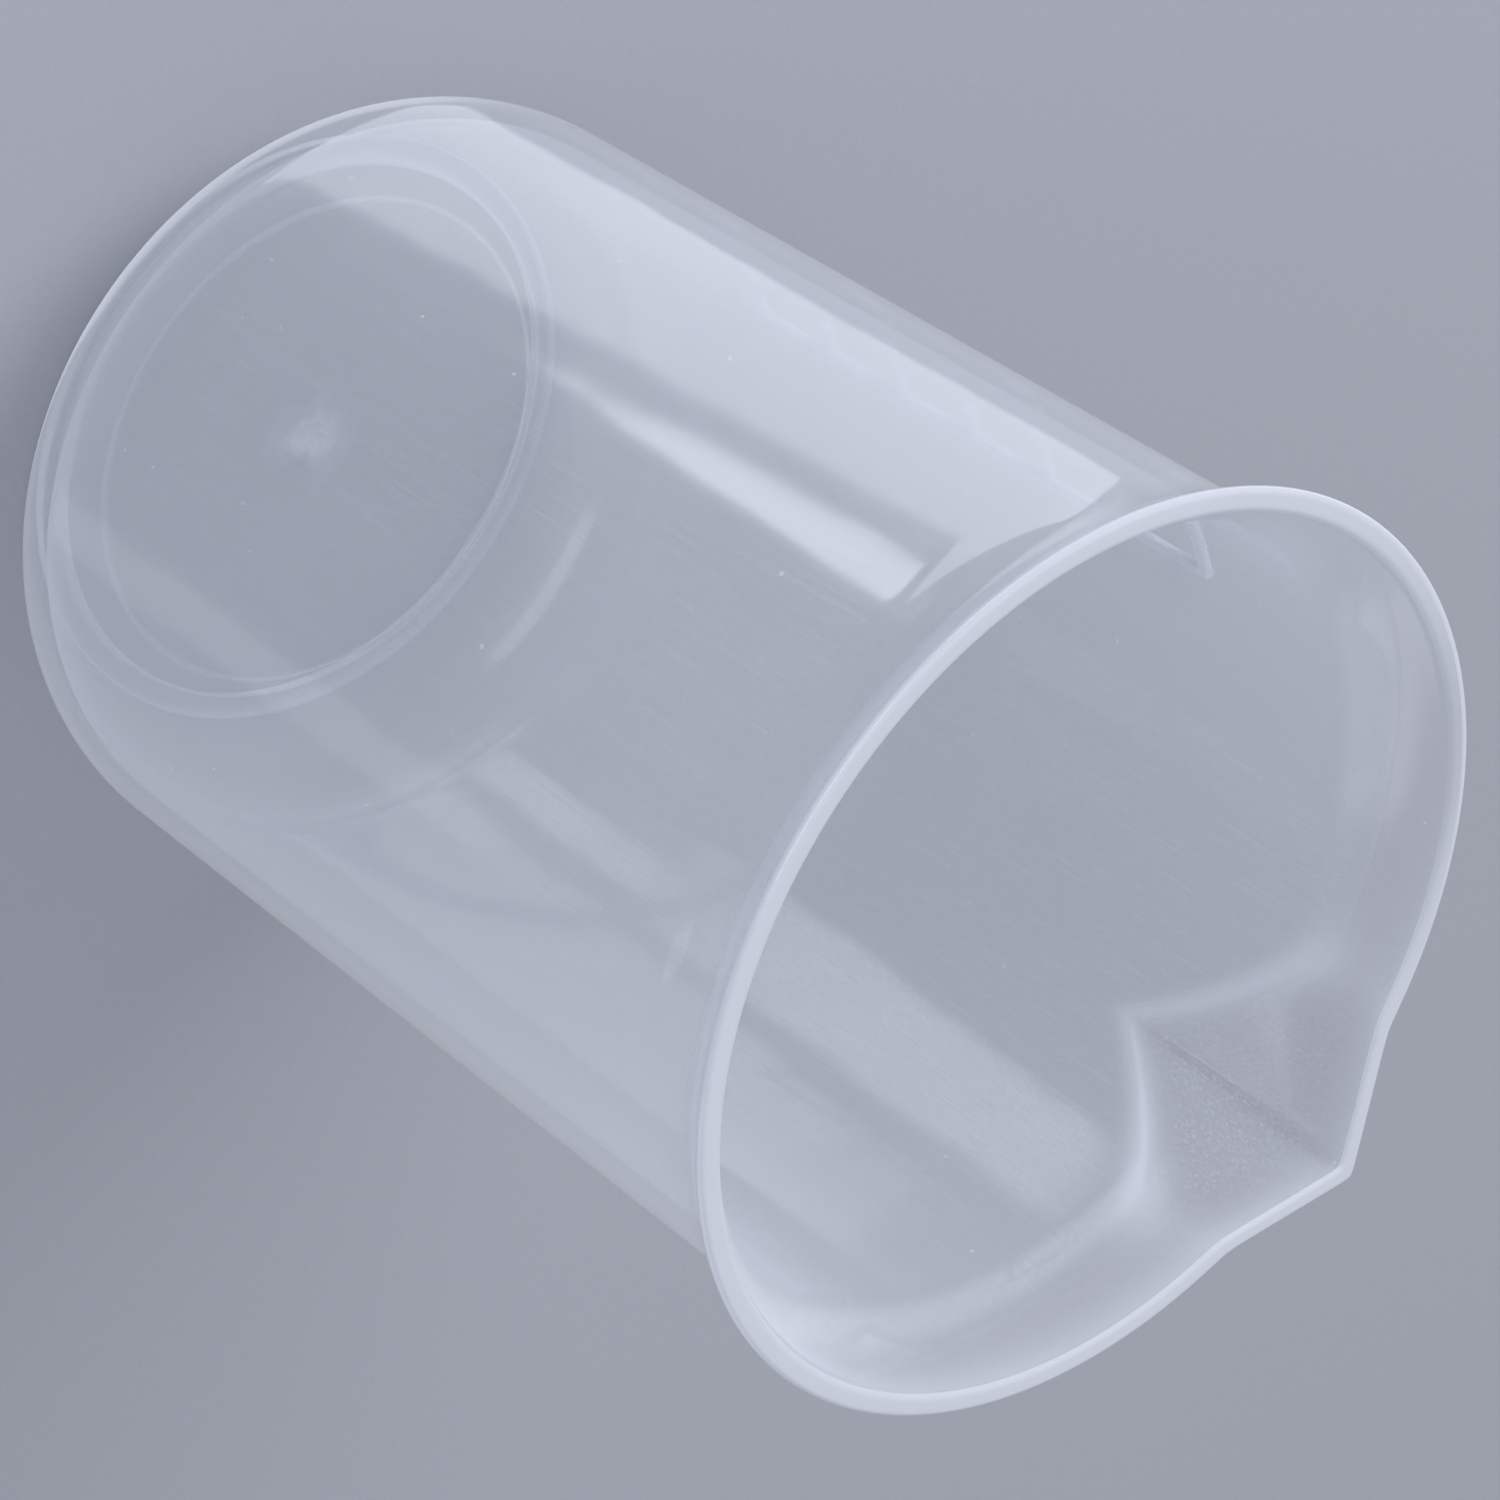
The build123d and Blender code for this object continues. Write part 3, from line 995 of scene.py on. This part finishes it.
def pale_floor():
    """A large matt floor with fine grain."""
    material = bpy.data.materials.new("pale_floor")
    material.use_nodes = True
    make = TreeMaker(material.node_tree)
    shader = material.node_tree.nodes["Principled BSDF"]
    place = make.add("ShaderNodeTexCoord").outputs["Object"]
    shade = make.add("ShaderNodeMapRange", {
        "Value": noise(make, place, GRAIN_SCALE, 1.0), "From Min": 0.3, "From Max": 0.7,
        "To Min": 1 - GRAIN_SWING, "To Max": 1 + GRAIN_SWING,
    }).outputs[0]
    grained = make.add("ShaderNodeVectorMath", {0: FLOOR_COLOUR}, operation="SCALE")
    make.link(shade, grained.inputs["Scale"])
    make.link(grained.outputs[0], shader.inputs["Base Color"])
    shader.inputs["Roughness"].default_value = 0.75
    shader.inputs["Specular IOR Level"].default_value = 0.2
    mesh = bpy.data.meshes.new("floor")
    sides = ((-1, -1), (1, -1), (1, 1), (-1, 1))
    corners = [(x * FLOOR_REACH, y * FLOOR_REACH, -FOOT_GAP) for x, y in sides]
    mesh.from_pydata(corners, [], [(0, 1, 2, 3)])
    mesh.materials.append(material)
    floor = placed("floor", mesh)
    floor.visible_glossy = False
    return floor


floor = pale_floor()
print("floor", 2 * FLOOR_REACH, "m wide")

# %% [markdown]
# ## Lamps
# A soft key lamp beside the cup and a weaker fill lamp behind the camera light the milk in the
# plastic. A sun or a point lamp would throw hard shadows, so both are area lamps. Gloss doesn't
# see them, because their own mirror images would lie among those of the soft boxes.

# %% Lamps
LAMP_TARGET = Vector((0, 0, 0.03))


def soft_lamp(name, place, size, power):
    """A rectangular lamp that looks at the middle of the cup."""
    data = bpy.data.lights.new(name, "AREA")
    data.shape = "RECTANGLE"
    data.size, data.size_y = size
    data.energy = power
    lamp = placed(name, data)
    lamp.location = place
    lamp.rotation_mode = "QUATERNION"
    lamp.rotation_quaternion = (LAMP_TARGET - Vector(place)).to_track_quat("-Z", "Y")
    lamp.visible_camera = False
    lamp.visible_glossy = False
    return lamp


lamps = [
    soft_lamp("key_lamp", (-0.15, 0.62, 0.5), (0.6, 0.45), 3.9),
    soft_lamp("fill_lamp", (-0.75, -0.3, 0.3), (0.5, 0.5), 1.9),
]
print("lamps:", [(lamp.name, round(lamp.data.energy, 1)) for lamp in lamps])

# %% [markdown]
# ## Sky and soft boxes
# The sky is even and pale. The bright strips on the cup are mirror images of large soft boxes. A
# strip could be a lamp, but it would light the milk and the floor as well, and an upright wall
# seen from above mirrors only what lies below the horizon. So the soft boxes are patches of the
# sky, most of them below the floor's level, and only gloss sees them. Each has bounds in degrees
# round the cup and above the horizon, which may lean, with rounded corners and soft edges.

# %% Soft boxes
# Heights from and to, left and right bound at those heights, rounding of the corners sideways,
# at the low end and at the high end, softness as a share of the rounding, and brightness
SOFT_BOXES = [
    ((-53, -35.5), (58.5, 58.5), (129.5, 107), (5, 2, 3.5), 0.25, 1.02),
    ((-44.8, -39.2), (131.8, 120.5), (134.5, 139.8), (8, 2, 1.5), 0.15, 1.97),
    ((-38.8, -33.0), (117, 116), (152, 146), (6, 1, 1.6), 0.3, 1.28),
    ((-28, -8), (24, 24), (150, 150), (15, 8, 8), 0.8, 1.0),
    ((28, 43), (157, 157), (212, 212), (10, 2.5, 4), 0.7, 1.5),
    ((-80, -50), (-5, -5), (55, 55), (8, 8, 8), 0.6, 0.62),
    ((-28, 14), (252, 252), (318, 318), (12, 10, 12), 0.6, 0.5),
    ((-53, -42.3), (238, 240), (252, 254.5), (6, 2, 1.5), 0.35, 0.3),
]
# The azimuth runs from here once round, so that no soft box crosses its jump
FIRST_AZIMUTH = -30.0


def sky_angles(make):
    """Azimuth and height of a place in the sky, in degrees."""
    way = make.add("ShaderNodeTexCoord").outputs["Generated"]
    half_way = FIRST_AZIMUTH + 180.0
    turned = make.add("ShaderNodeVectorRotate", {
        "Vector": way, "Angle": math.radians(-half_way),
    }, rotation_type="Z_AXIS").outputs[0]
    turned = make.add("ShaderNodeSeparateXYZ", {0: turned}).outputs
    azimuth = make.math("ARCTAN2", turned["Y"], turned["X"])
    azimuth = make.math("MULTIPLY_ADD", azimuth, math.degrees(1), half_way)
    height = make.math("ARCSINE", make.add("ShaderNodeSeparateXYZ", {0: way}).outputs["Z"])
    return azimuth, make.math("MULTIPLY", height, math.degrees(1))


def soft_box(make, azimuth, height, heights, left, right, rounding, soft):
    """A patch of the sky, 1 inside and 0 outside, with rounded corners and soft edges."""
    low, high = heights
    round_side, round_low, round_high = rounding

    def slanted(bounds):
        lean = (bounds[1] - bounds[0]) / (high - low)
        return make.math("SUBTRACT", azimuth, make.math("MULTIPLY_ADD", height, lean, -low * lean))

    def beyond(value, bound, reach):
        """How far a value has come into the rounding inside a bound, 1 at the bound itself."""
        return make.math("MULTIPLY_ADD", make.math("SUBTRACT", value, bound), 1 / reach, 1.0)

    sideways = make.math(
        "MAXIMUM",
        beyond(slanted(left), left[0], -round_side),
        beyond(slanted(right), right[0], round_side),
    )
    upright = make.math(
        "MAXIMUM",
        beyond(height, low, -round_low),
        beyond(height, high, round_high),
    )
    squares = [
        make.math("POWER", make.math("MAXIMUM", side, 0.0), 2.0) for side in (sideways, upright)
    ]
    return make.add("ShaderNodeMapRange", {
        "Value": make.math("SQRT", make.math("ADD", *squares)),
        "From Min": 1 + soft, "From Max": 1 - soft,
    }, interpolation_type="SMOOTHSTEP").outputs[0]


print(len(SOFT_BOXES), "soft boxes")

# %% Sky
SKY_COLOUR = (0.93, 0.96, 1.0, 1)
SKY_LEVEL = 0.55
MIRRORED_COLOUR = (0.90, 0.935, 1.0, 1)
MIRRORED_LEVEL = 0.34


def studio_sky():
    """An even sky for light, and a darker one with soft boxes for gloss."""
    world = bpy.data.worlds.new("studio_sky")
    bpy.context.scene.world = world
    world.use_nodes = True
    world.node_tree.nodes.clear()
    make = TreeMaker(world.node_tree)
    azimuth, height = sky_angles(make)
    boxes = 0.0
    for *shape, level in SOFT_BOXES:
        boxes = make.math("MULTIPLY_ADD", soft_box(make, azimuth, height, *shape), level, boxes)
    plain = make.add("ShaderNodeBackground", {"Color": SKY_COLOUR, "Strength": SKY_LEVEL})
    mirrored = make.add("ShaderNodeBackground", {
        "Color": MIRRORED_COLOUR, "Strength": make.math("ADD", boxes, MIRRORED_LEVEL),
    })
    sky = make.add("ShaderNodeMixShader", {
        0: make.add("ShaderNodeLightPath").outputs["Is Glossy Ray"],
        1: plain.outputs[0],
        2: mirrored.outputs[0],
    })
    make.link(sky.outputs[0], make.add("ShaderNodeOutputWorld").inputs["Surface"])
    world.cycles.sampling_method = "NONE"
    return world


sky = studio_sky()
bpy.context.scene.view_settings.view_transform = "Standard"
# Enough for a look through both walls, the foot ring and the scale at a low slant
bpy.context.scene.cycles.transparent_max_bounces = 32
print(len(sky.node_tree.nodes), "nodes in the sky")

# %% [markdown]
# ## Fasten the pieces to the frame
# All the pieces belong to the one moulding, so all ride on the frame's only body, and the
# skin stands for the CAD solid.

# %% Fasten the pieces
for piece in (cup_skin, scale_marks, scale_numerals):
    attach(piece, "root")
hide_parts("cup")
